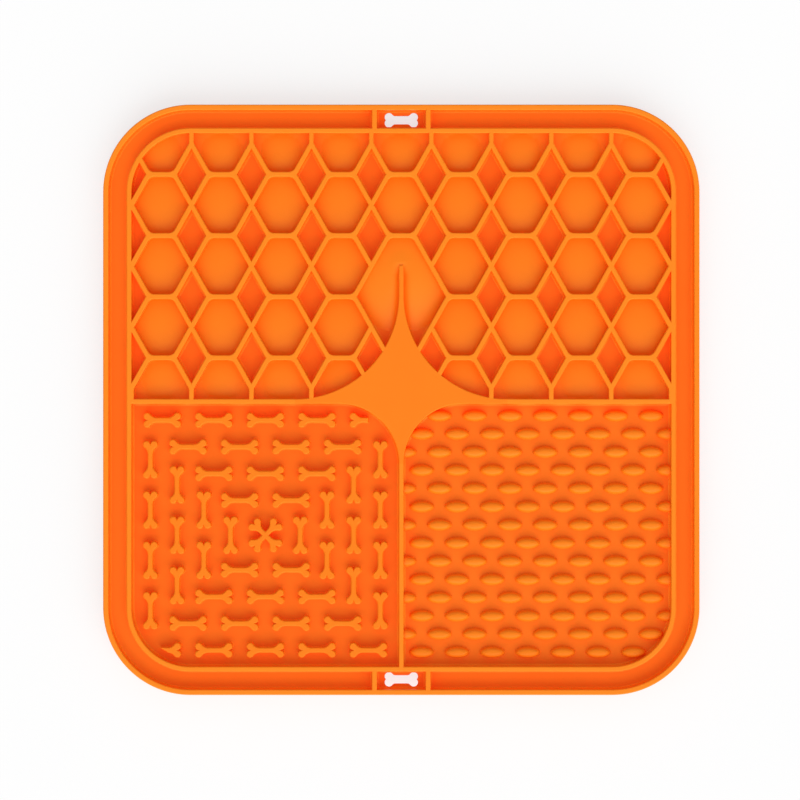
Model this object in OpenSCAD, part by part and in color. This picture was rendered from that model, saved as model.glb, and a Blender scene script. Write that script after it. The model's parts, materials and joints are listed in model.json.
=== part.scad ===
// Silicone lick mat: a square sheet with a rim, a moat and three food fields round a star,
// held down by suction cups on its back. X runs across the mat, Y up it and Z out of its face.
// The origin is the middle of the plane that the lips of the cups stand on.

/* [Mat] */
// Width of the mat
mat_w = 200; // [176:1:240]
// Length of the mat
mat_l = 198; // [176:1:240]
// Radius of the mat's corners
corner_r = 29.3; // [26:0.1:40]
// Thickness of the sheet
sheet_t = 1.4; // [1:0.1:3]
// Height of the rim, frame, dividers, star and comb over the sheet
wall_h = 5; // [4.5:0.1:9]
// Thickness of the frame, dividers and comb walls
wall_t = 1.6; // [1:0.1:2.2]

/* [Moat] */
// Thickness of the outer rim
rim_t = 1.8; // [1:0.1:3]
// Clear width of the moat
moat_w = 6.1; // [5.2:0.1:9]
// Distance between the two ribs beside a hanging eye
rib_spacing = 18; // [15:0.5:30]
// Thickness of a rib
rib_t = 1.7; // [1:0.1:3]
// Length of the bone-shaped hanging hole
eye_l = 11.2; // [8:0.1:12]
// Width of the hanging hole at its lobes
eye_w = 4.9; // [4:0.1:5]
// Width of the hanging hole at its waist
eye_waist = 2.8; // [2:0.1:3.4]
// Radius of the hanging hole's lobes
eye_lobe_r = 1.45; // [1.3:0.05:1.8]

/* [Star] */
// How far the cross divider lies below the middle of the mat
divider_drop = 0.5; // [0:0.1:6]
// Radius of the star's two upper curves
star_upper_r = 34.8; // [20:0.1:38]
// Radius of the star's two lower curves
star_lower_r = 20.1; // [10:0.1:30]
// Clear space between the star's spike and the comb bar above it
spike_gap = 9.1; // [5:0.1:14]

/* [Comb] */
// Number of columns of cells, an odd number
comb_columns = 9; // [7:2:11]
// Number of rows of bars
comb_rows = 4; // [4:1:5]
// Distance between the bends at the two ends of a bar
bar_l = 8.6; // [6:0.1:10]
// Length of the straight stubs at the ends of a zigzag wall
stub_l = 3.6; // [2:0.1:6]
// Radius inside a cell where a bar meets the zigzag walls
cell_fillet_r = 2.4; // [1:0.1:3]
// Crown of the pad in a whole cell
pad_h = 0.9; // [0.8:0.1:3]
// Crown of the pad in a cell that is cut by the frame or the divider
cut_pad_h = 0.8; // [0.8:0.1:3]
// Height of the dome in the star cell
dome_h = 4.2; // [2:0.1:4.4]
// Radius that the dome would have without the cell walls
dome_r = 19.5; // [12:0.1:24]
// How far the dome's crown lies below the middle of its cell
dome_drop = 3.4; // [0:0.1:6]

/* [Bones] */
// Length of a bone
bone_l = 12.6; // [10:0.1:14]
// Width of a bone over its lobes
bone_w = 5; // [4:0.1:6]
// Height of a bone
bone_h = 4; // [2:0.1:4.4]
// Width of a bone's shaft
shaft_w = 1.7; // [1:0.1:2.6]
// Radius of a bone's lobes
lobe_r = 1.1; // [0.9:0.05:1.3]
// Gap between the bones that lie end to end along the X sides of a ring
bone_gap_x = 4.7; // [2:0.1:8]
// Gap between the bones that lie end to end along the Y sides of a ring
bone_gap_y = 4.3; // [2:0.1:7]
// Gap between the ends of the inner ring's bones and the bones across them
ring_corner_gap = 2.9; // [1.5:0.1:6]
// What a ring's step outwards has over half the distance from bone to bone
ring_step_extra = 0.32; // [0:0.02:2]
// Least gap between a bone and the walls of its field
bone_margin = 1.7; // [1:0.1:1.8]

/* [Ovals] */
// Length of an oval
oval_l = 7.8; // [5:0.1:10]
// Width of an oval
oval_w = 4; // [3:0.1:5]
// Height of an oval
oval_h = 3.1; // [1.5:0.1:4.4]
// Gap between the ovals of a row
oval_gap = 4.07; // [2:0.01:7]
// Gap between two rows of ovals
oval_row_gap = 2.12; // [1:0.01:4]
// Distance from the lower divider's face to the middle of its nearest ovals
oval_start_x = 0.14; // [0:0.01:3]
// Distance from the cross divider's face to the first row of ovals
oval_start_y = 4.06; // [3:0.01:6]

/* [Suction cups] */
// Number of cups in a row and in a column
cup_count = 5; // [3:1:6]
// Outer diameter of a cup
cup_d = 24; // [16:0.5:25]
// Distance from the mat's edge to the middle of the nearest cups
cup_inset = 24; // [20:0.5:34]
// Width of the flat lip that a cup stands on
cup_lip = 0.8; // [0.4:0.1:2]
// Depth of the hollow of a cup
cup_depth = 2.4; // [1.5:0.1:2.6]
// Height of the cup's shell
cup_h = 3.2; // [3:0.1:3.4]
// Height of the sheet over the plane of the lips
stand_h = 3.6; // [3.5:0.1:6]
// Diameter of the neck that joins a cup to the sheet
neck_d = 10; // [6:0.5:14]

/* [Hidden] */
$fn = 96;
crown_fn = 256; // facets of the low crowns, whose whole height is small
arc_steps = 5;
silicone = [0.99, 0.5, 0.14];

// Levels above the plane of the lips
floor_z = stand_h + sheet_t;

// Plan: half sizes of the mat, of the frame's faces and of its middle line
half_w = mat_w / 2;
half_l = mat_l / 2;
frame_inset = rim_t + moat_w;
frame_mid_inset = frame_inset + wall_t / 2;
field_inset = frame_inset + wall_t;
field_x = half_w - field_inset;
field_y = half_l - field_inset;
field_corner_r = corner_r - field_inset;
eye_y = half_l - rim_t - moat_w / 2;

// Dividers and star: the middle of the star is where the dividers cross
cross_y = -divider_drop;
upper_reach = star_upper_r + wall_t / 2;
lower_reach = star_lower_r + wall_t / 2;
arm_reach = max(upper_reach, lower_reach);

// Comb: a zigzag wall swings between a column's edge and its bars
comb_low = cross_y + wall_t / 2;
comb_high = field_y;
pitch_x = 2 * field_x / comb_columns;
pitch_y = (comb_high - comb_low - 2 * stub_l) / comb_rows;
half_pitch = pitch_y / 2;
swing = (pitch_x - bar_l) / 2;
slant = atan2(half_pitch, swing);
slant_half = wall_t / 2 / sin(slant);
stub_drop = (slant_half - wall_t / 2) * tan(slant);
bar_corner_x = bar_l / 2 - slant_half + wall_t / 2 / tan(slant);
fillet_reach = cell_fillet_r * tan(slant / 2);
star_column = (comb_columns + 1) / 2;
open_row = 1; // the row in which the star column has no walls and no bar of its own
star_cell_y = row_y(open_row + 1);
spike_tip_y = bar_y(open_row + 1) - wall_t / 2 - spike_gap;

// Bones: square rings that grow outwards from a cross in the middle of their field
bone_field_x = -(field_x + wall_t / 2) / 2;
bone_field_y = (cross_y - wall_t / 2 - field_y) / 2;
bone_field_half = min(field_x - wall_t / 2, field_y + cross_y - wall_t / 2) / 2;
first_ring = (bone_l + bone_w) / 2 + ring_corner_gap;
bone_pitch_x = bone_l + bone_gap_x;
bone_pitch_y = bone_l + bone_gap_y;
ring_step = max(bone_pitch_x, bone_pitch_y) / 2 + ring_step_extra;
ring_count = 1 + floor((bone_field_half - bone_w / 2 - bone_margin - first_ring) / ring_step);

// Ovals: every second row is shifted by half a step
oval_step = oval_l + oval_gap;
oval_row_step = oval_w + oval_row_gap;
oval_x0 = wall_t / 2 + oval_start_x;
oval_y0 = cross_y - wall_t / 2 - oval_start_y;
oval_rows = 1 + floor((oval_y0 + field_y - oval_w / 2) / oval_row_step);
oval_half_steps = ceil(2 * field_x / oval_step);
oval_keep_share = 0.06;
oval_keep = oval_keep_share * oval_l; // how far outside its field an oval's middle may lie

// Cups: the outer ones follow the mat's edges
cup_pitch_x = (mat_w - 2 * cup_inset) / (cup_count - 1);
cup_pitch_y = (mat_l - 2 * cup_inset) / (cup_count - 1);

// Middle line of the comb's column
function column_x(column) = (column - star_column) * pitch_x;

// Level where the zigzag walls reach the edges of their column
function row_y(row) = comb_low + stub_l + row * pitch_y;

// Level of the bars between one such row and the next
function bar_y(row) = row_y(row) + half_pitch;

function moved(points, offset) = [for (p = points) p + offset];
function backwards(points) = [for (i = [len(points) - 1:-1:0]) points[i]];

// Mirrored path that still runs anticlockwise
function flipped(points, x_sign, y_sign) =
    let (mirrored = [for (p = points) [x_sign * p.x, y_sign * p.y]])
    x_sign * y_sign > 0 ? mirrored : backwards(mirrored);

// Fillet at the upper right of a bar's end, about the bar's middle, from the wall to the bar
bar_fillet = [
    for (step = [0:arc_steps])
        let (turn = -90 + slant * (1 - step / arc_steps))
        [bar_corner_x - fillet_reach + cell_fillet_r * cos(turn),
         wall_t / 2 + cell_fillet_r + cell_fillet_r * sin(turn)]];
bar_top = concat(bar_fillet, flipped(bar_fillet, -1, 1));
bar_tip = [bar_l / 2 - slant_half, 0];

// Upper edge of a cell under its bar, right to left, about the middle of the cell
cell_ceiling = moved(backwards(flipped(bar_top, 1, -1)), [0, half_pitch]);
cell_side_x = pitch_x / 2 - slant_half;
stub_side_x = (pitch_x - wall_t) / 2;

// Inside of a whole cell about its middle
upper_cell = concat([[cell_side_x, 0]], cell_ceiling);
whole_cell = concat(upper_cell, flipped(upper_cell, -1, -1));

// Inside of a cell that a straight wall cuts off below, about the level of its side corners
stub_side = [[stub_side_x, -stub_l], [stub_side_x, -stub_drop]];
cut_cell = concat(stub_side, cell_ceiling, flipped(stub_side, -1, 1));

// Inside of the large cell round the spike, from the bar above it down into the star
star_side = [
    [bar_l / 2 - slant_half, bar_y(open_row - 1)],
    [cell_side_x, row_y(open_row)],
    [cell_side_x + swing, bar_y(open_row)],
    [cell_side_x, star_cell_y]];
star_cell = concat(star_side, moved(cell_ceiling, [0, star_cell_y]), flipped(star_side, -1, 1));

// Whether a point lies inside a field's round corner, which points in the outwards direction
function in_corner(p, middle, r, outwards) =
    (p.x - middle.x) * outwards.x < 0 || (p.y - middle.y) * outwards.y < 0
    || norm(p - middle) < r;

// Middles of the round corners of a lower field, which the frame and the star make
function frame_corner(side) = [side * (field_x - field_corner_r), field_corner_r - field_y];
function star_corner(side) = [side * lower_reach, cross_y - lower_reach];

// Whether a point of the bone field keeps the margin from the walls, the star and the corner
function bone_clear(p) =
    p.x > -field_x + bone_margin && p.x < -wall_t / 2 - bone_margin
    && p.y > -field_y + bone_margin && p.y < cross_y - wall_t / 2 - bone_margin
    && in_corner(p, star_corner(-1), star_lower_r - bone_margin, [1, 1])
    && in_corner(p, frame_corner(-1), field_corner_r - bone_margin, [-1, -1]);

// Whether all four corners of a box in the bone field are clear
function box_clear(low, high) =
    bone_clear(low) && bone_clear(high)
    && bone_clear([low.x, high.y]) && bone_clear([high.x, low.y]);

// Whether an oval with its middle at this place belongs to the field
function oval_kept(p) =
    p.x < field_x + oval_keep
    && in_corner(p, star_corner(1), star_lower_r + oval_keep, [-1, 1])
    && in_corner(p, frame_corner(1), field_corner_r + oval_keep, [1, -1]);

// The mat's outline, drawn in by an inset
module mat_outline(inset) {
    r = corner_r - inset;
    square([mat_w - 2 * inset, mat_l - 2 * corner_r], center = true);
    square([mat_w - 2 * corner_r, mat_l - 2 * inset], center = true);
    for (x = [-1, 1], y = [-1, 1])
        translate([x * (half_w - corner_r), y * (half_l - corner_r)]) circle(r);
}

// A rectangle from one corner to the opposite one
module box_outline(low, high) {
    translate(low) square(high - low);
}

// The part of the plane over or under the cross divider's middle line
module upper_half() {
    box_outline([-half_w, cross_y], [half_w, half_l]);
}

// Bone: two lobes at each end and a shaft that flares into them
module bone_outline(length, width, waist, r) {
    lobe_x = length / 2 - r;
    lobe_y = width / 2 - r;
    flare = [[lobe_x - 2 * r, -waist / 2], [lobe_x, -lobe_y - r / 2]];
    half = concat(flare, flipped(flare, 1, -1));
    polygon(concat(half, flipped(half, -1, -1)));
    for (x = [-1, 1], y = [-1, 1])
        translate([x * lobe_x, y * lobe_y]) circle(r);
}

// One quarter of the star, with its middle at the origin: what a circle leaves of a square
module star_quarter(r) {
    reach = r + wall_t / 2;
    difference() {
        square(reach);
        translate([reach, reach]) circle(r);
    }
}

// Star with two large curves above, two small ones below, and a thin spike
module star_outline() {
    intersection() {
        translate([0, cross_y])
            for (x = [0, 1])
                mirror([x, 0]) {
                    star_quarter(star_upper_r);
                    mirror([0, 1]) star_quarter(star_lower_r);
                    box_outline([0, -wall_t / 2], [arm_reach, wall_t / 2]);
                    box_outline([0, 0], [wall_t / 2, half_l]);
                }
        box_outline([-half_w, -half_l], [half_w, spike_tip_y]);
    }
}

// Clear plan of the comb field: inside the frame, over the divider and outside the star
module comb_field() {
    difference() {
        intersection() {
            mat_outline(field_inset);
            box_outline([-field_x, comb_low], [field_x, comb_high]);
        }
        star_outline();
    }
}

// Clear plan of the oval field
module oval_field() {
    difference() {
        intersection() {
            mat_outline(field_inset);
            box_outline([wall_t / 2, -field_y], [field_x, cross_y - wall_t / 2]);
        }
        star_outline();
    }
}

// Raises a plan from the sheet to the tops of the walls
module raised(height = wall_h) {
    color(silicone) translate([0, 0, floor_z]) linear_extrude(height) children();
}

// A piece of the sheet with the given plan
module sheet() {
    color(silicone) translate([0, 0, stand_h]) linear_extrude(sheet_t) children();
}

// Ball whose top stands out of the plane z = 0 by the given height over the given radius
module crown(base_r, height) {
    ball_r = (base_r * base_r + height * height) / (2 * height);
    translate([0, 0, height - ball_r]) sphere(ball_r);
}

module comb_floor() {
    sheet() intersection() {
        mat_outline(frame_mid_inset);
        upper_half();
    }
}

module bone_floor() {
    sheet() difference() {
        mat_outline(frame_mid_inset);
        upper_half();
        box_outline([0, -half_l], [half_w, half_l]);
    }
}

module oval_floor() {
    sheet() difference() {
        mat_outline(frame_mid_inset);
        upper_half();
        box_outline([-half_w, -half_l], [0, half_l]);
    }
}

module channel_floor_right() {
    sheet() difference() {
        mat_outline(0);
        mat_outline(frame_mid_inset);
        box_outline([-half_w, -half_l], [rib_spacing / 2, half_l]);
    }
}

module channel_floor_left() {
    mirror([1, 0, 0]) channel_floor_right();
}

module hanging_eye_top() {
    sheet() difference() {
        box_outline([-rib_spacing / 2, half_l - frame_mid_inset], [rib_spacing / 2, half_l]);
        translate([0, eye_y]) bone_outline(eye_l, eye_w, eye_waist, eye_lobe_r);
    }
}

module hanging_eye_bottom() {
    mirror([0, 1, 0]) hanging_eye_top();
}

module outer_rim() {
    raised() difference() {
        mat_outline(0);
        mat_outline(rim_t);
    }
}

module inner_frame() {
    raised() difference() {
        mat_outline(frame_inset);
        mat_outline(field_inset);
    }
}

module rib_pair_top() {
    raised() for (x = [-1, 1])
        translate([x * rib_spacing / 2, eye_y]) square([rib_t, moat_w], center = true);
}

module rib_pair_bottom() {
    mirror([0, 1, 0]) rib_pair_top();
}

module divider_right() {
    raised() box_outline([arm_reach, cross_y - wall_t / 2], [field_x, cross_y + wall_t / 2]);
}

module divider_left() {
    mirror([1, 0, 0]) divider_right();
}

module divider_lower() {
    raised() box_outline([-wall_t / 2, -field_y], [wall_t / 2, cross_y - lower_reach]);
}

module centre_star() {
    raised() star_outline();
}

// Straight end of a zigzag wall at the bottom of the comb, and its first stretch inwards
zigzag_stub = [
    [0, comb_low], [wall_t / 2, comb_low],
    [wall_t / 2, row_y(0) - stub_drop], [slant_half, row_y(0)], [0, row_y(0)]];
function stretch(row) = [
    [-slant_half, row_y(row)], [slant_half, row_y(row)],
    [swing + slant_half, bar_y(row)], [swing - slant_half, bar_y(row)]];

// Path mirrored top to bottom about a level
function upturned(points, level) = moved(flipped(points, 1, -1), [0, 2 * level]);

// Zigzag wall at the left edge of a column, which lies on x = 0. An opened one lacks the two
// stretches beside the spike, where the tips of the next column's wall show instead.
module zigzag(opened) {
    intersection() {
        union() {
            polygon(zigzag_stub);
            polygon(upturned(zigzag_stub, (comb_low + comb_high) / 2));
            for (row = [0:comb_rows - 1]) {
                inwards = flipped(stretch(row), opened && row == open_row ? -1 : 1, 1);
                polygon(inwards);
                polygon(upturned(inwards, bar_y(row)));
            }
        }
        box_outline([0, comb_low], [pitch_x / 2, comb_high]);
    }
}

module comb_walls(column) {
    raised() intersection() {
        for (side = [-1, 1])
            translate([column_x(column) + side * pitch_x / 2, 0])
                mirror([side > 0 ? 1 : 0, 0])
                    zigzag(column == star_column);
        comb_field();
    }
}

// Row of bars, without those that the star cell leaves out
module comb_bars(row) {
    half = concat([bar_tip], bar_top);
    raised()
        for (column = [1:comb_columns])
            if (column != star_column || row > open_row + 1)
                translate([column_x(column), bar_y(row - 1)])
                    polygon(concat(half, flipped(half, -1, -1)));
}

// Crowned floor of one cell, with its plan about the cell's middle
module pad(base_r, height, middle) {
    intersection() {
        translate([middle.x, middle.y, floor_z]) crown(base_r, height, $fn = crown_fn);
        raised() intersection() {
            children();
            comb_field();
        }
    }
}

// Row of crowned cell floors. The bottom and top rows are cut cells.
module cell_pads(row) {
    cut = row == 1 || row == comb_rows + 1;
    flip = row == 1 ? 1 : -1;
    cut_r = (stub_l + half_pitch - wall_t / 2) / 2;
    level = row_y(row - 1);
    color(silicone)
        for (column = [1:comb_columns])
            if (column != star_column || row > open_row + 2) {
                place = [column_x(column), level];
                if (cut)
                    pad(cut_r, cut_pad_h, place + [0, flip * (cut_r - stub_l)])
                        translate(place) polygon(flipped(cut_cell, 1, flip));
                else
                    pad(half_pitch - wall_t / 2, pad_h, place)
                        translate(place) polygon(whole_cell);
            }
}

// Tall crowned floor of the cell round the spike
module star_cell_dome() {
    color(silicone)
        pad(dome_r, dome_h, [0, star_cell_y - dome_drop]) polygon(star_cell);
}

// A vector along a bone and across it, turned into the plan
function laid(along, across, along_x) = along_x ? [along, across] : [across, along];

// Whether one end of a bone is clear: the box round its lobes, and its shaft back to the middle
function end_clear(place, end, along_x) =
    let (inner = bone_l / 2 - 2 * lobe_r)
    box_clear(place + laid(end * inner, -bone_w / 2, along_x),
              place + laid(end * bone_l / 2, bone_w / 2, along_x))
    && box_clear(place + laid(0, -shaft_w / 2, along_x),
                 place + laid(end * inner, shaft_w / 2, along_x));

// Bone at a place in its field. One with an end that would come too near a wall is cut square at
// its middle, and one with both ends too near is left out.
module placed_bone(place, along_x) {
    for (end = [-1, 1])
        if (end_clear(place, end, along_x))
            intersection() {
                translate(place) rotate(along_x ? 0 : 90)
                    bone_outline(bone_l, bone_w, shaft_w, lobe_r);
                translate(place + laid(end * bone_l / 4, 0, along_x))
                    square(laid(bone_l / 2, bone_w, along_x), center = true);
            }
}

// Square ring of bones: the sides along X have one bone more than those along Y
module bone_ring(ring) {
    middle = [bone_field_x, bone_field_y];
    half = first_ring + (ring - 1) * ring_step;
    raised(bone_h)
        for (side = [-1, 1]) {
            for (i = [0:ring])
                placed_bone(middle + [(i - ring / 2) * bone_pitch_x, side * half], true);
            for (i = [0:ring - 1])
                placed_bone(middle + [side * half, (i - (ring - 1) / 2) * bone_pitch_y], false);
        }
}

module bone_cross() {
    raised(bone_h)
        translate([bone_field_x, bone_field_y])
            for (turn = [-45, 45])
                rotate(turn) bone_outline(bone_l, bone_w, shaft_w, lobe_r);
}

// Row of low domes, cut off by the walls of their field
module oval_row(row) {
    y = oval_y0 - (row - 1) * oval_row_step;
    shift = row % 2 == 1 ? 0 : oval_step / 2;
    color(silicone)
        intersection() {
            for (i = [0:oval_half_steps]) {
                place = [oval_x0 + shift + i * oval_step, y];
                if (oval_kept(place))
                    translate([place.x, place.y, floor_z])
                        scale([oval_l / 2, oval_w / 2, oval_h]) sphere(1);
            }
            raised() oval_field();
        }
}

// Suction cup: a shallow shell on a flat lip, with a neck up to the sheet
module suction_cup() {
    cup_r = cup_d / 2;
    hollow_r = cup_r - cup_lip;
    difference() {
        union() {
            intersection() {
                crown(cup_r, cup_h);
                cylinder(h = cup_h, r = cup_r);
            }
            translate([0, 0, cup_depth]) cylinder(h = stand_h - cup_depth, d = neck_d);
        }
        crown(hollow_r, cup_depth);
    }
}

module suction_cups(row) {
    color(silicone)
        for (i = [0:cup_count - 1])
            translate([(i - (cup_count - 1) / 2) * cup_pitch_x,
                       (row - (cup_count + 1) / 2) * cup_pitch_y, 0])
                suction_cup();
}

comb_floor();
bone_floor();
oval_floor();
channel_floor_left();
channel_floor_right();
hanging_eye_top();
hanging_eye_bottom();
outer_rim();
inner_frame();
rib_pair_top();
rib_pair_bottom();
divider_left();
divider_right();
divider_lower();
centre_star();
star_cell_dome();
bone_cross();
for (column = [1:comb_columns])
    comb_walls(column);
for (row = [1:comb_rows])
    comb_bars(row);
for (row = [1:comb_rows + 1])
    cell_pads(row);
for (ring = [1:ring_count])
    bone_ring(ring);
for (row = [1:oval_rows])
    oval_row(row);
for (row = [1:cup_count])
    suction_cups(row);
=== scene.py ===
"""Silicone lick mat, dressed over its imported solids.

Walls, bones and floors are moulded from plans. A plan is triangulated once for all the pieces in it, and each
of its edges gets a fillet at the foot and a rounded crest, so pieces that meet show no seam. Sizes are
millimetres until a mesh is made, in the frame of the solids: X across the mat, Y up it, Z out of its face.
"""

import json
import logging
import math
from collections.abc import Callable, Iterable, Sequence
from dataclasses import dataclass
from enum import Enum
from typing import Any

import bpy
import numpy as np
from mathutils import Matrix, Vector
from mathutils.geometry import delaunay_2d_cdt

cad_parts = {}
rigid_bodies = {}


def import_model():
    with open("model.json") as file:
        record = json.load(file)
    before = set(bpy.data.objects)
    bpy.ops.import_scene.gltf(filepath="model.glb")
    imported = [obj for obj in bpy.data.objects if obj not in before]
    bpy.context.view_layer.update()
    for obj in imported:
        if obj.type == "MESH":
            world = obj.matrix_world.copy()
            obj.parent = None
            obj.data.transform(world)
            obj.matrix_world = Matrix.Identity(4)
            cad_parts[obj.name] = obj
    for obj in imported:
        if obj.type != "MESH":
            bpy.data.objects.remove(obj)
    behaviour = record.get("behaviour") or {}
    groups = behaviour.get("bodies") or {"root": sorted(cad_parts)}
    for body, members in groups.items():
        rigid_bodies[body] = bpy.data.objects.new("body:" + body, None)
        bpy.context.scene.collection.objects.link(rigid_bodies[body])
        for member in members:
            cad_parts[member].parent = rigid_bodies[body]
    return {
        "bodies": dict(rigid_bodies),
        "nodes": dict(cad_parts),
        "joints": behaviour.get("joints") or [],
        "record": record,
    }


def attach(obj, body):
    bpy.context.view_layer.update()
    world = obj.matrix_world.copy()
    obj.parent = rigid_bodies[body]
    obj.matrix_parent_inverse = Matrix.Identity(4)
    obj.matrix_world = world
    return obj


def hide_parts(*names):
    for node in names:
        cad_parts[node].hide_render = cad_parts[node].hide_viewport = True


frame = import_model()

Point = tuple[float, float]
Path = list[Point]
Place = tuple[float, float, float]
Edge = tuple[int, int]
Colour = tuple[float, float, float]

log = logging.getLogger("lick_mat")

MM = 0.001
BODY = "root"
MERGE = 1e-3
UP: Place = (0.0, 0.0, 1.0)
DOWN: Place = (0.0, 0.0, -1.0)
WHITE = (1.0, 1.0, 1.0, 1.0)


# Plan geometry


def around(ring: Sequence[Any]) -> list[tuple[Any, Any]]:
    """Each item of a ring with the one that follows it."""
    return list(zip(ring, [*ring[1:], *ring[:1]]))


def unit(x: float, y: float) -> Point:
    """The vector of length 1 in the same direction."""
    return (x / math.hypot(x, y), y / math.hypot(x, y))


def outward(a: Point, b: Point) -> Point:
    """Unit vector that points across the side from a to b, out of an outline that runs anticlockwise."""
    return unit(b[1] - a[1], a[0] - b[0])


def quarter_turn(steps: int) -> list[Point]:
    """Sines and cosines of the angles that divide a quarter turn into steps, both ends included."""
    return [(math.sin(math.pi / 2 * i / steps), math.cos(math.pi / 2 * i / steps)) for i in range(steps + 1)]


def cap_height(base: float, height: float, radius: float) -> float:
    """Height of the cap of a ball at a radius, where the whole cap has a base radius and a height."""
    ball = (base ** 2 + height ** 2) / (2 * height)
    return math.sqrt(max(ball ** 2 - radius ** 2, 0.0)) + height - ball


def arc(middle: Point, radius: float, start: float, turn: float, steps: int) -> Path:
    """Points of an arc, ends included, from a start angle through a turn, both in degrees and anticlockwise."""
    angles = [math.radians(start + turn * i / steps) for i in range(steps + 1)]
    return [(middle[0] + radius * math.cos(a), middle[1] + radius * math.sin(a)) for a in angles]


def rounded_box(half_x: float, half_y: float, radius: float, steps: int = 28) -> Path:
    """Anticlockwise outline of a box round the origin, given by half its sizes, with arcs for corners."""
    middles = [(x * (half_x - radius), y * (half_y - radius)) for x, y in ((1, 1), (-1, 1), (-1, -1), (1, -1))]
    return [point for n, middle in enumerate(middles) for point in arc(middle, radius, 90.0 * n, 90.0, steps)]


def box(low: Point, high: Point) -> Path:
    """Anticlockwise outline of a box from its lower left to its upper right corner."""
    return [low, (high[0], low[1]), high, (low[0], high[1])]


def shifted(path: Iterable[Point], x: float, y: float) -> Path:
    """The path, moved by x and y."""
    return [(px + x, py + y) for px, py in path]


def flipped(path: Path, x_sign: float, y_sign: float) -> Path:
    """The path mirrored where a sign is negative, turned round if need be so that it keeps its sense."""
    mirrored = [(x_sign * x, y_sign * y) for x, y in path]
    return mirrored if x_sign * y_sign > 0 else mirrored[::-1]


def between(sides: Iterable[tuple[Point, Point]], points: np.ndarray) -> np.ndarray:
    """Tells which points lie inside closed outlines that are given as loose sides.

    Args:
        sides: The outlines' sides, in any order.
        points: Rows of x and y.

    Returns:
        One truth value for each point.
    """
    x, y = points[:, 0], points[:, 1]
    result = np.zeros(len(points), bool)
    for (ax, ay), (bx, by) in sides:
        if ay != by:
            crosses = (ay > y) != (by > y)
            result ^= crosses & (x < (bx - ax) * (y - ay) / (by - ay) + ax)
    return result


def holds(path: Path, points: np.ndarray) -> np.ndarray:
    """Which of the points, rows of x and y, lie inside a closed path."""
    return between(around(path), points)


def area(path: Path) -> float:
    """Area inside a closed path, above zero if it runs anticlockwise."""
    return sum(ax * by - bx * ay for (ax, ay), (bx, by) in around(path)) / 2


def triangulated(points: Iterable[Point], edges: list[Edge],
                 merge: float = MERGE) -> tuple[np.ndarray, np.ndarray, list[list[int]]]:
    """Fills the plan round points with triangles.

    Args:
        points: The points.
        edges: Pairs of their numbers, which stay edges of triangles.
        merge: Distance below which points become one.

    Returns:
        The triangles' points, the triangles, all anticlockwise, and the given points that became each point.
    """
    found = delaunay_2d_cdt([Vector(point) for point in points], edges, [], 0, merge)
    made, triangles = (np.array([tuple(row) for row in rows]) for rows in (found[0], found[2]))
    corners = made[triangles]
    a, b = corners[:, 1] - corners[:, 0], corners[:, 2] - corners[:, 0]
    clockwise = a[:, 0] * b[:, 1] - a[:, 1] * b[:, 0] < 0
    triangles[clockwise] = triangles[clockwise][:, ::-1]
    return made, triangles, found[3]


# Meshes


class Moulding:
    """Surface of one piece while it is collected, in millimetres."""

    def __init__(self) -> None:
        """Starts with nothing in it."""
        self.corners: list[Place] = []
        self.faces: list[tuple[int, ...]] = []
        self.normals: list[Place] = []

    def corner(self, place: Place) -> int:
        """Adds a corner and returns its number."""
        self.corners.append(place)
        return len(self.corners) - 1

    def face(self, corners: Sequence[int], normals: Sequence[Place] | Place | None = None) -> None:
        """Adds a face.

        Args:
            corners: Numbers of its corners, anticlockwise from outside.
            normals: One normal for each corner, one for all, or None where Blender works them out.
        """
        self.faces.append(tuple(corners))
        if normals is None:
            normals = (0.0, 0.0, 0.0)
        if isinstance(normals, tuple):
            normals = [normals] * len(corners)
        self.normals += normals

    def loft(self, top: Place, rings: Sequence[Sequence[int]], bottom: Place) -> None:
        """Adds a closed form over rings of corners.

        Args:
            top: Where the form closes over the first ring.
            rings: The rings, each below the last and anticlockwise from above, all with as many corners.
            bottom: Where the form closes under the last ring.
        """
        for inner, outer in zip(rings, rings[1:]):
            for (a, b), (c, d) in zip(around(inner), around(outer)):
                self.face((a, c, d, b))
        for tip, ring in ((self.corner(top), rings[0]), (self.corner(bottom), rings[-1][::-1])):
            for a, b in around(ring):
                self.face((tip, a, b))

    def make(self, node: str, finish: "SiliconeFinish") -> None:
        """Makes the object and lets it stand for its CAD node.

        Args:
            node: The node's name.
            finish: What the piece is dressed in.
        """
        mesh = bpy.data.meshes.new(f"moulded_{node}")
        mesh.from_pydata([tuple(MM * c for c in place) for place in self.corners], [], self.faces)
        mesh.shade_smooth()
        if any(any(normal) for normal in self.normals):
            mesh.normals_split_custom_set(self.normals)
        piece = bpy.data.objects.new(mesh.name, mesh)
        bpy.context.scene.collection.objects.link(piece)
        mesh.materials.append(finish.material())
        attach(piece, BODY)
        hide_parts(node)
        log.info("%s: %d faces, %s", piece.name, len(self.faces), finish.name)


@dataclass(frozen=True)
class Station:
    """One level on the side of a form: how far out it lies, its height and which way it faces."""

    outset: float
    z: float
    out: float
    up: float


@dataclass(frozen=True)
class EdgeForm:
    """Side of a raised form from its foot to its crest.

    A foot above zero is the radius of a fillet, one below zero that of a rounded lower edge. A dip lowers the
    crest.
    """

    foot: float
    crest: float
    foot_steps: int = 3
    crest_steps: int = 4
    dip: float = 0.0

    def stations(self, low: float, high: float) -> list[Station]:
        """Levels of the side.

        Args:
            low: Height of the foot.
            high: Height of the crest.

        Returns:
            The stations from the foot up, as many for every form with the same steps.
        """
        sign, foot, crest = math.copysign(1, self.foot), abs(self.foot), self.crest
        return [
            *(Station(sign * foot * (1 - sin), low + foot * (1 - cos), sin, sign * cos)
              for sin, cos in quarter_turn(self.foot_steps)),
            *(Station(-crest * (1 - cos), high - self.dip - crest * (1 - sin), cos, sin)
              for sin, cos in quarter_turn(self.crest_steps))]


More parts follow.
